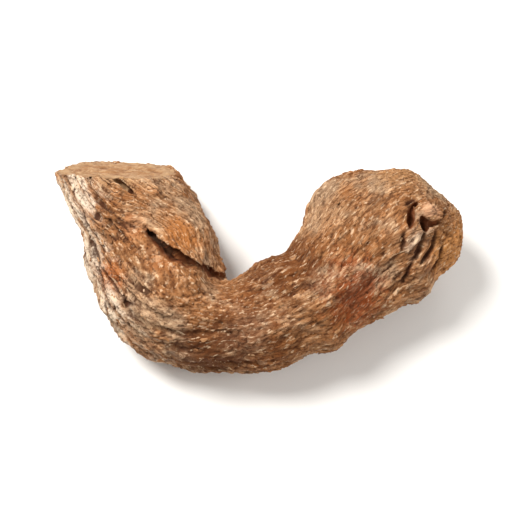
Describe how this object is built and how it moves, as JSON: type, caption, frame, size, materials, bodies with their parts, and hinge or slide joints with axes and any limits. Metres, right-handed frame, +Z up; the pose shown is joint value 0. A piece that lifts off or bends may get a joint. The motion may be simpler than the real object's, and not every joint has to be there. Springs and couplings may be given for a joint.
{
  "type": "dried elephant creeper root",
  "caption": "Gnarled piece of dried aromatic root: a broad limb chopped across at its end, a sharp bend, and a second limb that swells into a blunt knob.",
  "frame": {"origin": "middle of the root's box, on the table that it lies on", "axes": "+X from the chopped limb to the knob, +Y the way both limbs point from the bend, +Z up from the table"},
  "size_m": [0.0702, 0.0424, 0.0216],
  "materials": {
    "bark": "rough dry bark, grey brown with rust patches, pale where it is cut"
  },
  "bodies": {
    "root": {"dried_root": "bark"}
  },
  "joints": []
}
